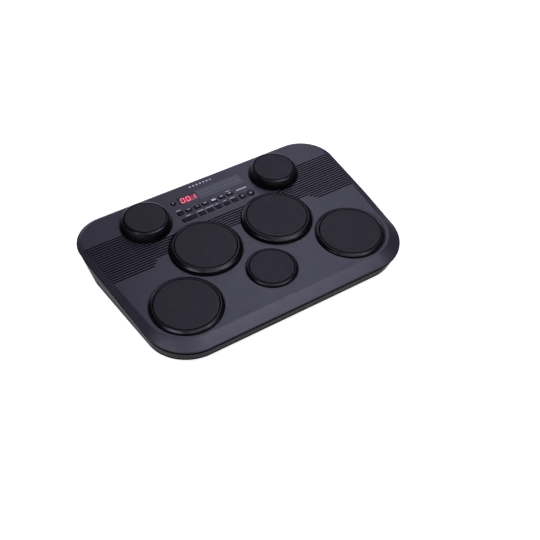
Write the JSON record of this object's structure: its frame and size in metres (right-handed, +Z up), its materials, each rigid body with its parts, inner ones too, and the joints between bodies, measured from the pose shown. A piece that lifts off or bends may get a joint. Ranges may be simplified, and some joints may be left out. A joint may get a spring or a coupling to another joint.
{
  "type": "electronic drum pad",
  "caption": "Tabletop electronic drum with round rubber playing pads on a sloping, ribbed panel with keys and a display, on rubber feet.",
  "frame": {"origin": "centre of the footprint at the underside of the rubber feet", "axes": "+X to the player's right, +Y to the back, where the sockets are, +Z up; the panel rises 3.8 degrees towards +Y"},
  "size_m": [0.6088, 0.4082, 0.0975],
  "materials": {
    "case_top": "fine-grained moulded plastic, slate grey",
    "case_bottom": "fine-grained moulded plastic, dark grey",
    "head_rubber": "matte rubber",
    "pad_rim": "satin black",
    "sensor_steel": "stamped sheet",
    "key": "satin black",
    "display_window": "smoked red, polished",
    "display_module": "plain",
    "board": "solder mask",
    "speaker": "paper cone and painted basket",
    "foot_rubber": "matte rubber",
    "steel": "plated",
    "socket": "moulded black"
  },
  "bodies": {
    "case": {"top_shell": "case_top", "bottom_shell": "case_bottom", "battery_tray": "case_bottom", "rim_rear_left": "pad_rim", "sensor_rear_left": "sensor_steel", "rim_rear_right": "pad_rim", "sensor_rear_right": "sensor_steel", "rim_mid_left": "pad_rim", "sensor_mid_left": "sensor_steel", "rim_mid_right": "pad_rim", "sensor_mid_right": "sensor_steel", "rim_front_left": "pad_rim", "sensor_front_left": "sensor_steel", "rim_front_right": "pad_rim", "sensor_front_right": "sensor_steel", "rim_centre": "pad_rim", "sensor_centre": "sensor_steel", "display_window": "display_window", "display_module": "display_module", "panel_board": "board", "main_board": "board", "speaker_left": "speaker", "speaker_right": "speaker", "foot_front_left": "foot_rubber", "foot_front_right": "foot_rubber", "foot_rear_left": "foot_rubber", "foot_rear_right": "foot_rubber", "case_screw_1": "steel", "case_screw_2": "steel", "case_screw_3": "steel", "case_screw_4": "steel", "dc_inlet": "socket", "phones_socket": "socket", "hi_hat_socket": "socket", "kick_socket": "socket", "usb_port": "steel"},
    "head_rear_left": {"head_rear_left": "head_rubber"},
    "head_rear_right": {"head_rear_right": "head_rubber"},
    "head_mid_left": {"head_mid_left": "head_rubber"},
    "head_mid_right": {"head_mid_right": "head_rubber"},
    "head_front_left": {"head_front_left": "head_rubber"},
    "head_front_right": {"head_front_right": "head_rubber"},
    "head_centre": {"head_centre": "head_rubber"},
    "key_upper_1": {"key_upper_1": "key"},
    "key_upper_2": {"key_upper_2": "key"},
    "key_upper_3": {"key_upper_3": "key"},
    "key_upper_4": {"key_upper_4": "key"},
    "key_upper_5": {"key_upper_5": "key"},
    "key_upper_6": {"key_upper_6": "key"},
    "key_upper_7": {"key_upper_7": "key"},
    "key_lower_wide": {"key_lower_wide": "key"},
    "key_lower_2": {"key_lower_2": "key"},
    "key_lower_3": {"key_lower_3": "key"},
    "key_lower_4": {"key_lower_4": "key"},
    "key_lower_5": {"key_lower_5": "key"},
    "key_lower_6": {"key_lower_6": "key"},
    "key_square": {"key_square": "key"},
    "key_round": {"key_round": "key"},
    "key_power": {"key_power": "key"},
    "battery_door": {"battery_door": "case_bottom"}
  },
  "joints": [
    {"name": "press_head_rear_left", "type": "slide", "parent": "case", "child": "head_rear_left", "axis": [0, -0.0663, 0.9978], "range_m": [-0.0012, 0], "stiffness_N_per_m": 4000, "springref_m": 0.0004},
    {"name": "press_head_rear_right", "type": "slide", "parent": "case", "child": "head_rear_right", "axis": [0, -0.0663, 0.9978], "range_m": [-0.0012, 0], "stiffness_N_per_m": 4000, "springref_m": 0.0004},
    {"name": "press_head_mid_left", "type": "slide", "parent": "case", "child": "head_mid_left", "axis": [0, -0.0663, 0.9978], "range_m": [-0.0012, 0], "stiffness_N_per_m": 4000, "springref_m": 0.0004},
    {"name": "press_head_mid_right", "type": "slide", "parent": "case", "child": "head_mid_right", "axis": [0, -0.0663, 0.9978], "range_m": [-0.0012, 0], "stiffness_N_per_m": 4000, "springref_m": 0.0004},
    {"name": "press_head_front_left", "type": "slide", "parent": "case", "child": "head_front_left", "axis": [0, -0.0663, 0.9978], "range_m": [-0.0012, 0], "stiffness_N_per_m": 4000, "springref_m": 0.0004},
    {"name": "press_head_front_right", "type": "slide", "parent": "case", "child": "head_front_right", "axis": [0, -0.0663, 0.9978], "range_m": [-0.0012, 0], "stiffness_N_per_m": 4000, "springref_m": 0.0004},
    {"name": "press_head_centre", "type": "slide", "parent": "case", "child": "head_centre", "axis": [0, -0.0663, 0.9978], "range_m": [-0.0012, 0], "stiffness_N_per_m": 4000, "springref_m": 0.0004},
    {"name": "press_key_upper_1", "type": "slide", "parent": "case", "child": "key_upper_1", "axis": [0, -0.0663, 0.9978], "range_m": [-0.0008, 0], "stiffness_N_per_m": 80, "springref_m": 0.0006},
    {"name": "press_key_upper_2", "type": "slide", "parent": "case", "child": "key_upper_2", "axis": [0, -0.0663, 0.9978], "range_m": [-0.0008, 0], "stiffness_N_per_m": 80, "springref_m": 0.0006},
    {"name": "press_key_upper_3", "type": "slide", "parent": "case", "child": "key_upper_3", "axis": [0, -0.0663, 0.9978], "range_m": [-0.0008, 0], "stiffness_N_per_m": 80, "springref_m": 0.0006},
    {"name": "press_key_upper_4", "type": "slide", "parent": "case", "child": "key_upper_4", "axis": [0, -0.0663, 0.9978], "range_m": [-0.0008, 0], "stiffness_N_per_m": 80, "springref_m": 0.0006},
    {"name": "press_key_upper_5", "type": "slide", "parent": "case", "child": "key_upper_5", "axis": [0, -0.0663, 0.9978], "range_m": [-0.0008, 0], "stiffness_N_per_m": 80, "springref_m": 0.0006},
    {"name": "press_key_upper_6", "type": "slide", "parent": "case", "child": "key_upper_6", "axis": [0, -0.0663, 0.9978], "range_m": [-0.0008, 0], "stiffness_N_per_m": 80, "springref_m": 0.0006},
    {"name": "press_key_upper_7", "type": "slide", "parent": "case", "child": "key_upper_7", "axis": [0, -0.0663, 0.9978], "range_m": [-0.0008, 0], "stiffness_N_per_m": 80, "springref_m": 0.0006},
    {"name": "press_key_lower_wide", "type": "slide", "parent": "case", "child": "key_lower_wide", "axis": [0, -0.0663, 0.9978], "range_m": [-0.0008, 0], "stiffness_N_per_m": 120, "springref_m": 0.0006},
    {"name": "press_key_lower_2", "type": "slide", "parent": "case", "child": "key_lower_2", "axis": [0, -0.0663, 0.9978], "range_m": [-0.0008, 0], "stiffness_N_per_m": 80, "springref_m": 0.0006},
    {"name": "press_key_lower_3", "type": "slide", "parent": "case", "child": "key_lower_3", "axis": [0, -0.0663, 0.9978], "range_m": [-0.0008, 0], "stiffness_N_per_m": 80, "springref_m": 0.0006},
    {"name": "press_key_lower_4", "type": "slide", "parent": "case", "child": "key_lower_4", "axis": [0, -0.0663, 0.9978], "range_m": [-0.0008, 0], "stiffness_N_per_m": 80, "springref_m": 0.0006},
    {"name": "press_key_lower_5", "type": "slide", "parent": "case", "child": "key_lower_5", "axis": [0, -0.0663, 0.9978], "range_m": [-0.0008, 0], "stiffness_N_per_m": 80, "springref_m": 0.0006},
    {"name": "press_key_lower_6", "type": "slide", "parent": "case", "child": "key_lower_6", "axis": [0, -0.0663, 0.9978], "range_m": [-0.0008, 0], "stiffness_N_per_m": 80, "springref_m": 0.0006},
    {"name": "press_key_square", "type": "slide", "parent": "case", "child": "key_square", "axis": [0, -0.0663, 0.9978], "range_m": [-0.0008, 0], "stiffness_N_per_m": 120, "springref_m": 0.0006},
    {"name": "press_key_round", "type": "slide", "parent": "case", "child": "key_round", "axis": [0, -0.0663, 0.9978], "range_m": [-0.0008, 0], "stiffness_N_per_m": 120, "springref_m": 0.0006},
    {"name": "press_key_power", "type": "slide", "parent": "case", "child": "key_power", "axis": [0, -0.0663, 0.9978], "range_m": [-0.0008, 0], "stiffness_N_per_m": 80, "springref_m": 0.0006},
    {"name": "slide_battery_door", "type": "slide", "parent": "case", "child": "battery_door", "axis": [0, -1, 0], "range_m": [0, 0.012]}
  ]
}
